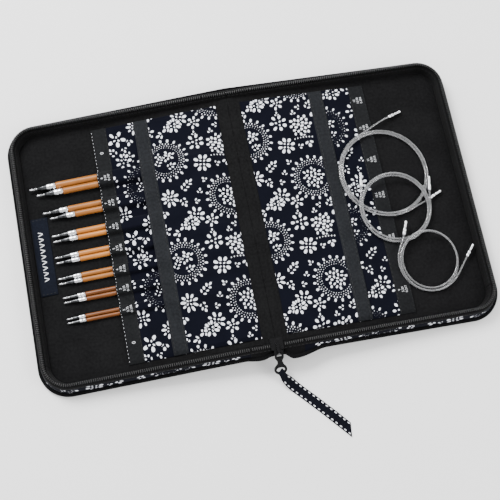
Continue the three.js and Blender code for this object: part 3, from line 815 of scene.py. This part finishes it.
def pocket_height(side, u, v):
    """Top of the needle pocket's cloth above the board."""
    height = np.full_like(u, POCKET_TOP)
    if side == "left":
        height = height + rib_rise(v) * ease(3.0, 14.0, u)
    height = height + 0.12 * wrinkle(u, v, seed_for(side, 3), 26)
    edge = ease(0.5, 5.0, u) * ease(0.0, 3.5, POCKET_HALF + 0.5 - np.abs(v))
    return POCKET_EDGE + (height - POCKET_EDGE) * edge


def front_floor(side, u, v):
    """What the front pocket's cloth lies on."""
    height = pocket_height(side, u, v) + FRONT_LAYER
    edge = ease(1.0, 6.0, u) * ease(0.0, 4.0, POCKET_HALF + 0.6 - np.abs(v))
    return FRONT_EDGE + (height - FRONT_EDGE) * edge


DRAPE_START, DRAPE_STEP_V = 2.0, 0.75
DRAPE_U, DRAPE_V = np.arange(DRAPE_START, 67.1, 1.0), np.arange(-POCKET_HALF, POCKET_HALF + 0.1, DRAPE_STEP_V)
drape_u, drape_v = np.meshgrid(DRAPE_U, DRAPE_V, indexing="ij")
front_sheets = {side: draped(front_floor(side, drape_u, drape_v), DRAPE_SAG, DRAPE_STEPS)
                for side in ("left", "right")}


def front_height(side, u, v):
    """Top of the front pocket's cloth, from the draped sheet."""
    fu = np.clip(u - DRAPE_START, 0, len(DRAPE_U) - 1.001)
    fv = np.clip((v + POCKET_HALF) / DRAPE_STEP_V, 0, len(DRAPE_V) - 1.001)
    i, j = np.floor(fu).astype(int), np.floor(fv).astype(int)
    height = bilinear(front_sheets[side], i, j, i + 1, j + 1, fu - i, fv - j)
    inside = ease(0, 10, u) * ease(0, 6, POCKET_HALF - np.abs(v))
    return height + 0.10 * wrinkle(u * 2, v, seed_for(side, 11), 14) * inside


# Where the swatch starts on each page: the front pocket's cloth, then the needle pocket's.
PRINT_ORIGINS = {"left": ((-46.5, 53.5), (-63.5, 37.8)), "right": ((3.8, 57.5), (63.0, 59.5))}
THINNER_PETALS = 0.12


def cloth_piece(name, side, u, v, height, thickness, material, origin=None, shift=(0, 0), **options):
    """A cloth at heights above a page's board, moved by shift once its own coordinates are set."""
    grid = np.stack(np.broadcast_arrays(u + shift[0], v + shift[1], height), -1)
    return slab(name, side, grid, thickness, material, cloth_attributes(u, v, origin, side), **options)


def make_needle_pocket(side, v):
    """The long pocket and the size tape along its mouth, on which the tips rest."""
    page, length = body_for(side), NEEDLE_CLOTH_LENGTH[side]
    # Coarse where the front pocket hides it.
    columns = np.concatenate([np.arange(5.0, 62.0, 4.0), np.arange(63.0, 86.3, 0.5)])
    u, v = np.meshgrid(columns, v, indexing="ij")
    look = cloth_attributes(u, v, PRINT_ORIGINS[side][1], side)
    look["print"] -= THINNER_PETALS
    grid = np.stack([u, v, pocket_height(side, u, v)], -1)
    pocket = slab(f"needle_pocket_cloth_{side}", side, grid, CLOTH, printed, look,
                  body=page, slot="print_cloth", replaces=[f"needle_pocket_{side}"])

    u, v = np.meshgrid(np.arange(86.0, 97.6, 0.5), v[0], indexing="ij")
    rolled_edge = 0.25 * ease(95.0, 98.0, u) * (1 + 0.6 * wrinkle(u * 0, v, 21, 18))
    lift = 0.16 * ease(85.0, 87.0, u) + rolled_edge
    height = pocket_height(side, u, v) + lift
    tape = cloth_piece(f"size_tape_cloth_{side}", side, u, v, height, CLOTH, tape_cloth,
                       body=page, slot="size_tape", replaces=[f"size_tape_{side}"])


def make_front_pocket(side, v):
    """The shorter pocket and the binding over its mouth."""
    page, length = body_for(side), FRONT_CLOTH_LENGTH[side]
    u, v = np.meshgrid(np.concatenate([[2.5, 2.9, 3.4], np.arange(4.0, 57.1, 0.5)]), v, indexing="ij")
    front = cloth_piece(f"front_pocket_cloth_{side}", side, u, v, front_height(side, u, v), CLOTH, printed,
                        PRINT_ORIGINS[side][0], body=page, slot="print_cloth",
                        replaces=[f"front_pocket_{side}"])

    columns = np.array([54.6, 54.75, 55.1, 56, 57.5, 59, 60.5, 62, 63.5, 64.6, 65.1, 65.35])
    u, v = np.meshgrid(columns, v[0], indexing="ij")
    edge = ease(54.4, 55.4, u) * (1 - 0.7 * ease(64.6, 65.5, u))
    height = front_height(side, u, v) + 0.05 + 0.35 * edge
    band = cloth_piece(f"binding_{side}", side, u, v, height, 0.9, binding_cloth, body=page, slot="canvas")


def make_pockets(side):
    v = np.arange(-POCKET_HALF, POCKET_HALF + 0.01, 0.5)
    make_needle_pocket(side, v)
    make_front_pocket(side, v)
    edge_look = {"material": white_thread if side == "left" else dark_thread, "length": 1.1, "spacing": 2.7,
                 "width": 0.26}
    line_v = np.arange(-POCKET_HALF + 1, POCKET_HALF - 1, 0.5)
    for name, surface, place, height, slot, look in (
        ("binding_stitches_inner", front_height, 56.0, 0.42, "canvas", {}),
        ("binding_stitches_outer", front_height, 64.0, 0.42, "canvas", {}),
        ("size_tape_edge", pocket_height, 96.9, 0.42, "size_tape", edge_look),
        ("size_tape_seam", pocket_height, 86.7, 0.16, "size_tape", {}),
    ):
        line_u = np.full_like(line_v, place)
        path = np.column_stack([line_u, line_v, surface(side, line_u, line_v) + height])
        stitches(f"{name}_{side}", side, path, body=body_for(side), slot=slot, **look)


# ---- Lining, covers and the spine ------------------------------------------------------------
LINING_INSET, COVER_INSET, BOARD_INSET = 9.2, 2.4, 3.2
COVER_PRINT_ORIGIN = (11.0, 24.0)


def page_grid(start, inset, spacing):
    """Points over a page's outline with rounded corners: rows run along the spine's direction."""
    half, outer, radius = HALF_HEIGHT - inset, COVER_WIDTH - inset, CORNER_RADIUS - inset
    straight = np.arange(-half + radius, half - radius, spacing)
    turns = np.linspace(0, math.pi / 2, int(radius * math.pi / 2 / spacing) + 2)
    bend = (half - radius) + radius * np.sin(turns)
    v = np.concatenate([-bend[::-1], straight[1:], bend])
    into = np.maximum(np.abs(v) - (half - radius), 0)
    end = outer - radius + np.sqrt(np.maximum(radius**2 - into**2, 0))
    share = np.linspace(0, 1, int((outer - start) / spacing))
    u = start + share[:, None] * (end[None, :] - start)
    return u, np.broadcast_to(v[None, :], u.shape)


def from_edge(u, v, inset):
    """How far points are from the outer or the end edge of an inset page."""
    return np.minimum(COVER_WIDTH - inset - u, HALF_HEIGHT - inset - np.abs(v))


def near_pucker(side, u):
    """How far the cloth at the case's near end stands out beside the zip slider."""
    from_middle = SPINE_HALF + u
    peak, reach = (4.2, 36.0) if side == "right" else (1.5, 24.0)
    return peak * ease(4.5, 11.0, from_middle) * (1 - ease(13.0, reach, from_middle))


def outer_shift(side, u, v):
    """The cover's cloth follows the pucker at its near end."""
    return 0, -(near_pucker(side, u) * ease(86, 101, -v))


def make_page_cloths(side):
    page = body_for(side)
    u, v = page_grid(1.5, LINING_INSET, 1.6)
    height = 1.1 + 0.14 * wrinkle(u, v, seed_for(side, 31), 34)
    height = height + 0.25 * (1 - ease(0, 3, from_edge(u, v, LINING_INSET))) - 0.35 * (1 - ease(1.5, 4.0, u))
    lining = cloth_piece(f"lining_cloth_{side}", side, u, v, height, CLOTH, lining_cloth,
                         body=page, slot="canvas", replaces=[f"lining_{side}"])

    u, v = page_grid(4.4, BOARD_INSET, 3.0)
    grid = np.stack([u, v, np.full_like(u, 0.35)], -1)
    slab(f"cover_board_{side}", side, grid, 1.85, board_card,
         body=page, slot="canvas", replaces=[f"cover_{side}"])

    u, v = page_grid(0.8, COVER_INSET, 0.7)
    rounded = 0.5 * (1 - ease(0, 2.2, from_edge(u, v, COVER_INSET)))
    height = -2.0 + rounded - 0.04 * wrinkle(u, v, seed_for(side, 41), 40)
    cover = cloth_piece(f"cover_cloth_{side}", side, u, v, height, -COVER_CLOTH, printed, COVER_PRINT_ORIGIN,
                        outer_shift(side, u, v), body=page, slot="print_cloth")


def spine_blend(obj, side, page_u, spine_x):
    """Bakes the piece's transform into its points; the places worked out from page_u and spine_x are not
    used.
    """
    start = world(side, [page_u, 0, 0])[0]
    end = start.copy()
    end[0] = math.copysign(spine_x * MM, start[0])
    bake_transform(obj)


def make_spine(side):
    """Half of the spine's lining and outer cloth, between the page and the spine."""
    columns = np.linspace(-SPINE_HALF, 4.0, 24)
    u, v = np.meshgrid(columns, np.arange(-99.9, 99.95, 1.5), indexing="ij")
    fold = np.exp(-((u - 0.2) / 0.9) ** 2)
    height = 1.3 - 0.45 * fold + 0.1 * wrinkle(u * 2.0, v, 51, 30) * ease(0, 3, u + SPINE_HALF)
    height = height - 0.25 * ease(2.8, 4.0, u)
    inner = cloth_piece(f"spine_lining_{side}", side, u, v, height, 0.7, lining_cloth, slot="canvas")
    spine_blend(inner, side, 2.2, 4.6)

    end_v = 101.2
    u, v = np.meshgrid(columns, np.arange(-end_v, end_v + 0.05, 0.8), indexing="ij")
    height = -2.0 + 0.25 * (1 - ease(0, 1.2, end_v - np.abs(v))) + 0.55 * ease(0.1, 1.0, u)
    outer = cloth_piece(f"spine_cloth_{side}", side, u, v, height, -COVER_CLOTH, printed, COVER_PRINT_ORIGIN,
                        outer_shift(side, u, v), slot="print_cloth")
    spine_blend(outer, side, 1.2, 5.0)


def make_spine_board():
    x, v = np.meshgrid(np.linspace(-4.3, 4.3, 6), np.linspace(-99.5, 99.5, 60), indexing="ij")
    grid = np.stack([x, v, np.full_like(x, 0.45)], -1)
    slab("spine_board", "case", grid, 1.9, board_card, body="spine", slot="canvas", replaces=["spine_panel"])


# ---- Walls, zip and piping -------------------------------------------------------------------
# Sections of the wall: insets from the cover's edge and heights above its board.
GUSSET = [(3.0, -0.2), (3.2, 1.5), (4.2, 6.0), (5.6, 10.2)]
ZIP_TAPE = [(9.4, 0.9), (8.6, 4.0), (7.9, 9.4), (7.6, 10.9), (7.0, 11.5),
            (6.0, 11.6), (5.0, 11.1), (4.4, 10.2), (4.0, 9.2), (3.6, 8.1)]
TEETH_INSET, TEETH_HEIGHT, TEETH_SPACING = 6.4, 11.8, 1.5
GUSSET_PRINT_ORIGIN = (17.0, 12.5)
PIPING_RADIUS = 1.5


def outline(start, spacing):
    """The cover's edge from the far end of the spine round to the near one: places and inward normals."""
    centre_u, centre_v = COVER_WIDTH - CORNER_RADIUS, HALF_HEIGHT - CORNER_RADIUS
    turns = np.linspace(0, math.pi / 2, int(CORNER_RADIUS * math.pi / 2 / spacing) + 1)
    waves = [(math.sin(turn), math.cos(turn)) for turn in turns]
    found = [(u, HALF_HEIGHT, 0, -1) for u in np.arange(start, centre_u, spacing)]
    found += [(centre_u + CORNER_RADIUS * s, centre_v + CORNER_RADIUS * c, -s, -c) for s, c in waves]
    found += [(COVER_WIDTH, v, -1, 0) for v in np.arange(centre_v, -centre_v, -spacing)[1:]]
    found += [(centre_u + CORNER_RADIUS * c, -centre_v - CORNER_RADIUS * s, -c, s) for s, c in waves]
    found += [(u, -HALF_HEIGHT, 0, 1) for u in np.arange(centre_u, start - 0.01, -spacing)[1:]]
    return np.array(found)


def end_line(u, direction):
    """The same for a straight stretch at one end of the spine."""
    v, normal_u, normal_v = (np.full_like(u, value) for value in (direction * HALF_HEIGHT, 0, -direction))
    return np.column_stack([u, v, normal_u, normal_v])


def wall_share(u, end_share):
    """A wall's height against its full one: it grows lower towards the spine, and lower still across it."""
    rise = WALL_HEIGHT - WALL_AT_HINGE
    share = (WALL_AT_HINGE + rise * np.clip(u / WALL_FULL_AT, 0, 1)) / WALL_HEIGHT
    at_start = (WALL_AT_HINGE + rise * WALL_START / WALL_FULL_AT) / WALL_HEIGHT
    across = end_share + (at_start - end_share) * ease(-SPINE_HALF, WALL_START, u)
    return np.where(u < WALL_START, across, share)


def smooth_section(section, spacing=0.75):
    """A smooth run of points through a section's corners."""
    points = np.array(section, float)
    lengths = travel_along(points)
    where = np.linspace(0, lengths[-1], max(8, int(lengths[-1] / spacing)))
    found = np.column_stack([np.interp(where, lengths, points[:, axis]) for axis in (0, 1)])
    for _ in range(2):
        found[1:-1] = (found[:-2] + 2 * found[1:-1] + found[2:]) / 4
    return found, where


def on_wall(side, path, inset, height, end_share):
    """Points of a wall at insets from the outline and heights from the board."""
    outline_u, outline_v, normal_u, normal_v = (path[:, column][:, None] for column in range(4))
    low = 1 - np.clip(height / 9.0, 0, 1)
    pushed = near_pucker(side, outline_u) * (normal_v > 0.99) * low
    u = outline_u + normal_u * inset
    v = outline_v + normal_v * (inset - pushed)
    return np.stack([u, v, height * wall_share(u, end_share)], -1)


def wall_grid(side, path, section, end_share, bulge, seed):
    profile, across = smooth_section(section)
    inset, height = profile[:, 0][None, :], profile[:, 1][None, :]
    rise = np.sin(np.pi * np.clip(profile[:, 1] / profile[:, 1].max(), 0, 1))[None, :]
    along_grid, across_grid = np.meshgrid(travel_along(path[:, :2]), across, indexing="ij")
    inset = inset - bulge * rise * (1 + 0.5 * wrinkle(along_grid, across_grid, seed, 22))
    return on_wall(side, path, inset, height, end_share), along_grid, across_grid


def wall_pieces(tag, side, path, end_share, gusset_cloth, body=None):
    """Gusset, folded zip tape, teeth and stitching of a page's own wall, or of a strip at the spine."""
    grid, along, across = wall_grid(side, path, GUSSET, end_share, 0.12, 61)
    look = cloth_attributes(along, across, GUSSET_PRINT_ORIGIN)
    made = [slab(f"gusset_cloth_{tag}", side, grid, CLOTH, gusset_cloth, look,
                 slot="print_cloth", body=body, replaces=[f"gusset_{side}"] if body else ())]
    grid, along, across = wall_grid(side, path, ZIP_TAPE, end_share, 0.0, 62)
    made.append(slab(f"zip_tape_{tag}", side, grid, ZIP_CLOTH, zip_cloth, cloth_attributes(along, across),
                     slot="zip_coil", body=body, replaces=[f"zip_{side}"] if body else ()))

    def beaded(name, inset, height, spacing, start, size, material, standing, **look):
        """Bars along a line of the wall: standing ones lie along it, and teeth across it."""
        line = on_wall(side, path, np.array([[inset]]), np.array([[height]]), end_share)[:, 0]
        spots = []
        for spot, way in zip(*resample(line, spacing, start)):
            level = np.array([-way[1], way[0], 0])
            spots.append((spot, way, level) if standing else (spot, level, UP))
        if not body and not standing:
            # A strip at the spine overlaps the page's own wall, which keeps its teeth there.
            spots = [spot for spot in spots if spot[0][0] < WALL_START - 0.6]
        made.append(beads(f"{name}_{tag}", side, spots, size, material, slot="zip_coil", body=body, **look))

    # The two sides' teeth are half a step apart, so that they mesh when the case is shut.
    beaded("zip_teeth", TEETH_INSET, TEETH_HEIGHT, TEETH_SPACING, 0.5 if side == "left" else 0.0,
           (2.0, 0.66, 1.25), teeth_nylon, False, around=8, rings=5, power=0.62)
    for name, inset, height in (("zip_stitches_inner", 8.15, 8.0), ("zip_stitches_outer", 3.85, 8.9)):
        beaded(name, inset, height, 3.0, 0.5, (2.0, 0.4, 0.35), dark_thread, True, power=1.0)
    return made


def piping_route(side, edge):
    """The middle line of the piping, inside the cover's edge."""
    u, v, normal_u, normal_v = edge.T
    pushed = near_pucker(side, u) * (normal_v > 0.99)
    inset = PIPING_RADIUS - pushed
    return np.column_stack([u + normal_u * PIPING_RADIUS, v + normal_v * inset, np.full(len(edge), -0.5)])


def make_walls(side):
    page = body_for(side)
    gusset, tape, *_ = wall_pieces(side, side, outline(WALL_START, 0.7), 0.4, printed, page)
    tube(f"piping_cord_{side}", side, piping_route(side, outline(2.0, 1.5)), PIPING_RADIUS, piping_cloth,
         body=page, slot="canvas", replaces=[f"piping_{side}"])
    for end_name, direction, end_share in (("far", 1, 0.40), ("near", -1, 0.30)):
        u = np.arange(-SPINE_HALF, WALL_START + 0.9, 0.6)[::direction]
        if direction < 0:
            u = u[u >= -2.6]
        tag = f"spine_{end_name}_{side}"
        pieces = wall_pieces(tag, side, end_line(u, direction), end_share, piping_cloth)
        for made in pieces:
            spine_blend(made, side, 11.5, 1.5)
        edge = end_line(np.linspace(-SPINE_HALF, 3.4, 14), direction)
        cord = tube(f"piping_{tag}", side, piping_route(side, edge), 1.46, piping_cloth, slot="canvas")
        spine_blend(cord, side, 2.0, 4.0)


# ---- Needles ---------------------------------------------------------------------------------
def make_shaft(name, radius, origin, end, wood):
    """The bamboo: a long point, a straight shaft and an eased end."""
    profile = [(0, 0), (0.3, 0.1), (0.5, 0.5)]
    profile += [(radius * wide, NEEDLE_POINT * along) for wide, along in NEEDLE_TAPER]
    profile += [(radius, NEEDLE_POINT)]
    profile += [(radius, along) for along in np.linspace(NEEDLE_POINT + 8, end - 1.2, 9)]
    profile += [(radius - 0.04, end - 0.6), (radius - 0.22, end - 0.12), (0, end - 0.1)]
    lathe(f"{name}_bamboo", "left", profile, origin, wood, NEEDLE_SIDES, body=name, slot="bamboo",
          replaces=[f"{name}_shaft"])


def make_ferrule(name, size, origin, steel):
    """The steel end: a grooved bright sleeve, a cone whose dark colour is painted shade and reflection, and a
    worn neck.
    """
    radius, stem = size / 2, 0.42 + 0.11 * size
    sleeve, cone = steel * 0.30, steel * 0.68
    profile = [(0, 0.0), (radius - 0.15, 0.0), (radius, 0.15)]
    profile += [(radius, sleeve * 0.45), (radius - 0.09, sleeve * 0.5), (radius - 0.09, sleeve * 0.56)]
    profile += [(radius, sleeve * 0.62), (radius, sleeve), (radius * 0.96, sleeve + 0.35)]
    shaded_cone_from = len(profile) - 2
    profile += [(radius * 0.85, sleeve + (cone - sleeve) * 0.4)]
    profile += [(stem * 1.45, cone - 1.0), (stem * 1.15, cone)]
    worn_from = len(profile) - 2
    profile += [(stem * 1.1, cone + 0.4), (stem * 1.1, cone + 1.0), (stem * 0.9, cone + 1.15),
                (stem * 0.9, cone + 1.6), (stem, cone + 1.75), (stem * 0.86, steel - 1.4),
                (stem * 0.62, steel - 0.35), (stem * 0.3, steel - 0.05), (0, steel)]
    metals = [bright_steel, shaded_cone_steel, worn_steel]
    ferrule = lathe(f"{name}_steel", "left", profile, origin, metals, NEEDLE_SIDES,
                    body=name, slot="steel", replaces=[f"{name}_ferrule"])
    # From here to the neck the faces take the cone's steel, whose darkness is painted shade and reflection.
    for ring in range(shaded_cone_from, len(profile) - 3):
        first = NEEDLE_SIDES * (2 + ring)
        for face in range(first, first + NEEDLE_SIDES):
            ferrule.data.polygons[face].material_index = 1 if ring < worn_from else 2


def make_needles():
    woods = [bamboo_warm, bamboo_warm, bamboo_light, bamboo_light, bamboo_warm, bamboo_brown, bamboo_brown]
    for index, (size, place, reach, steel, lead) in enumerate(NEEDLE_PAIRS):
        for which, sign in (("far", 1), ("near", -1)):
            name = f"needle_{index + 1}_{which}"
            start = reach + (lead if sign > 0 else 0) - NEEDLE_LENGTH
            end = NEEDLE_LENGTH - steel
            v, w = place + sign * (size + GAP) / 2, NEEDLE_BASE + size / 2
            make_shaft(name, size / 2, (start, v, w), end, woods[index])
            make_ferrule(name, size, (start + end, v, w), steel)


# ---- Size marks, label, slider, pull and ribbon ----------------------------------------------
MARK_HEIGHT, LONE_MARK_HEIGHT, MARK_PITCH, MARK_MIDDLE = 1.65, 2.6, 2.6, 91.6
INCH = 25.4
RIGHT_SIZES = [(77.8, "15", 10.0), (55.3, "13", 9.0), (29.5, "11", 8.0),
               (1.2, "10.5", 6.5), (-32.0, "10", 6.0), (-72.0, "9", 5.5)]


def text_shape(text, height):
    """Vertices and faces of a short run of numerals, centred, in millimetres."""
    data = bpy.data.curves.new("numerals", "FONT")
    data.body, data.size, data.align_x, data.align_y = text, height * 1.42, "CENTER", "CENTER"
    data.extrude, data.resolution_u = 0.05, 3
    holder = link("numerals", data)
    shape = bpy.data.meshes.new_from_object(holder.evaluated_get(bpy.context.evaluated_depsgraph_get()))
    points = np.array([vertex.co for vertex in shape.vertices], float)
    faces = [tuple(face.vertices) for face in shape.polygons]
    bpy.data.objects.remove(holder)
    bpy.data.curves.remove(data)
    bpy.data.meshes.remove(shape)
    return points, faces


def size_rows(us_size, millimetres):
    """The needle size in three scales: US number, millimetres and inches."""
    texts = (us_size, f"{millimetres:.2f}", f"{millimetres / INCH:.3f}")
    return [(text, MARK_HEIGHT) for text in texts]


def make_size_marks(side, marks):
    """Numerals on the size tape: each mark is rows of (text, height) at a place along the spine."""
    points, faces = [], []
    total = 0
    facing = 1 if side == "left" else -1
    for place, rows in marks:
        for row, (text, height) in enumerate(rows):
            shape, shape_faces = text_shape(text, height)
            centre_u = MARK_MIDDLE + ((len(rows) - 1) / 2 - row) * MARK_PITCH * facing
            u = centre_u + shape[:, 1] * facing
            v = place + shape[:, 0]
            points.append(np.column_stack([u, v, pocket_height(side, u, v) + 0.16 + 0.06 + shape[:, 2]]))
            faces += [tuple(corner + total for corner in face) for face in shape_faces]
            total += len(shape)
    make(f"size_marks_{side}", side, np.concatenate(points), faces, white_ink,
         body=body_for(side), smooth=False, slot="size_tape")


def make_marks():
    zero = [("0", LONE_MARK_HEIGHT)]
    left = [(place - 0.4, size_rows(us_size, size))
            for (size, place, *_), us_size in zip(NEEDLE_PAIRS, NEEDLE_SIZES_US)]
    make_size_marks("left", [(70.3, zero), *left, (-74.7, zero)])
    make_size_marks("right", [(place, size_rows(us_size, size)) for place, us_size, size in RIGHT_SIZES])


def make_label():
    """A woven label with a row of knitted stitches on it."""
    place_u, place_v, width, length = 145.4, 0.5, 12.6, 59.0
    on_label = {"body": "left_page", "slot": "navy_weave"}
    columns, rows = np.linspace(-width / 2, width / 2, 26), np.linspace(-length / 2, length / 2, 100)
    u, v = np.meshgrid(columns, rows, indexing="ij")
    edge = np.minimum(width / 2 - np.abs(u), length / 2 - np.abs(v))
    height = 1.9 - 0.35 * (1 - ease(0, 1.2, edge)) + 0.08 * wrinkle(u * 2, v, 71, 16)
    fold = 0.12 * (1 - ease(3.4, 3.8, length / 2 - np.abs(v)))
    label = cloth_piece("woven_label_cloth", "left", u, v, height + fold, 0.45, label_cloth,
                        shift=(place_u, place_v), replaces=["woven_label"], **on_label)
    spots = []
    for step in range(9):
        for tilt in (-1, 1):
            turn = math.radians(tilt * 21)
            place = (place_u + 0.3, place_v + (step - 4) * 4.3 + tilt * 0.78, 2.0)
            spots.append((place, (math.cos(turn), math.sin(turn), 0), UP))
    beads("label_knit_stitches", "left", spots, (3.9, 0.72, 0.3), white_thread, around=10, rings=7, power=0.9,
          **on_label)
    for name, v in (("far", place_v + 28.2), ("near", place_v - 28.2)):
        path = [(place_u - 5.4, v, 2.1), (place_u + 5.4, v, 2.1)]
        stitches(f"label_stitches_{name}", "left", path, length=1.6, spacing=2.4, **on_label)


def dress_metal():
    """The slider and the pull keep their CAD shape, with eased edges and a worn black finish."""
    for node in ("zip_slider", "zip_pull"):
        obj = frame["nodes"][node]
        obj.data.materials.clear()
        obj.data.materials.append(gunmetal)
        bevel = obj.modifiers.new("eased_edges", "BEVEL")
        bevel.width = 0.32 * MM
        bevel.segments = 3
        bevel.limit_method = "ANGLE"
        bevel.angle_limit = math.radians(40)
        bevel.harden_normals = False
        obj.data.shade_smooth()


def make_ribbon():
    """The ribbon drops from the pull's ring to the surface below."""
    start_x, start_y, heading = 2.2, -118.6, math.radians(-48.5)
    width, length, lead, slant = 7.6, 62.0, 7.5, 7.0
    along = np.array([math.cos(heading), math.sin(heading)])
    across = np.array([-along[1], along[0]])
    t = np.linspace(-1, 1, 14)[None, :]
    reach = -lead + np.linspace(0, 1, 120)[:, None] * (length - slant * (t + 1) / 2 + lead)
    side_way = t * width / 2 * (0.66 + 0.34 * ease(-4.0, 5.0, reach))
    drop = 1 - ease(-6.0, 13.5, reach)
    ripple = 0.35 * np.sin(reach * 0.16 + 0.8) ** 2 * ease(14, 24, reach) * (1 - ease(50, 62, reach))
    cup = 0.25 * (t**2) * ease(-2, 6, reach) * (1 - ease(8, 20, reach))
    height = 0.62 + 8.6 * drop ** 1.35 + ripple + cup
    bend = 0.8 * np.sin((reach - 5) / 57 * math.pi) * ease(5, 12, reach) - 1.6 * (1 - ease(-7.5, 4, reach))
    off = side_way + bend * 0.5
    x = start_x + along[0] * reach + across[0] * off + (1 - ease(-7.5, 1.0, reach)) * 2.6
    y = start_y + along[1] * reach + across[1] * off
    grid = np.stack([x, y, height - HINGE_Z], -1)
    cloth = np.stack([reach, side_way, np.zeros_like(reach)], -1)
    ribbon = slab("ribbon_cloth", "case", grid, ZIP_CLOTH, ribbon_cloth, {"cloth": cloth}, slot="navy_weave",
                  replaces=["pull_ribbon"])
    spots = []
    for share in (0.15, 0.85):
        line = grid[14:, 0] * (1 - share) + grid[14:, -1] * share + np.array([0, 0, 0.08])
        spots += [(spot, way, UP) for spot, way in zip(*resample(line, 3.75))]
    dashes = beads("ribbon_dashes", "case", spots, (2.0, 0.85, 0.35), white_thread,
                   around=8, rings=5, power=0.8, slot="navy_weave")
    for piece in (ribbon, dashes):
        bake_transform(piece)


make_spine_board()
for page_side in ("left", "right"):
    make_page_cloths(page_side)
    make_pockets(page_side)
    make_spine(page_side)
    make_walls(page_side)
make_needles()
make_marks()
make_label()
dress_metal()
make_ribbon()


# ---- Floor and light -------------------------------------------------------------------------
FLOOR_REACH, SKY_STRENGTH = 3.0, 1.32
# Each lamp's place in metres, its size and its power.
LAMPS = {"key": ((-0.5, 0.75, 1.1), 0.6, 34), "fill": ((0.9, -0.5, 1.0), 0.5, 8)}


def stage():
    mesh = bpy.data.meshes.new("floor")
    corners = [(x * FLOOR_REACH, y * FLOOR_REACH, 0) for x, y in ((-1, -1), (1, -1), (1, 1), (-1, 1))]
    mesh.from_pydata(corners, [], [(0, 1, 2, 3)])
    shader = Shader("pale_floor", Specular_IOR_Level=0.1)
    vector = shader.place()
    color = shader.mix(shader.noise(vector, 0.01, 2), (0.90, 0.90, 0.90), (0.93, 0.93, 0.93))
    mesh.materials.append(shader.finish(color, shader.ramp(shader.noise(vector, 0.2, 2), 0, 1, 0.85, 0.95)))
    link("floor", mesh)
    sky = bpy.data.worlds.new("sky")
    bpy.context.scene.world = sky
    sky.use_nodes = True
    background = sky.node_tree.nodes["Background"]
    background.inputs["Color"].default_value = (1, 1, 1, 1)
    background.inputs["Strength"].default_value = SKY_STRENGTH
    for name, (place, size, power) in LAMPS.items():
        lamp = bpy.data.lights.new(name, "AREA")
        lamp.size, lamp.energy = size, power
        light = link(name, lamp)
        light.location = place
        light.rotation_mode = "QUATERNION"
        light.rotation_quaternion = (-Vector(place)).to_track_quat("-Z", "Y")


stage()
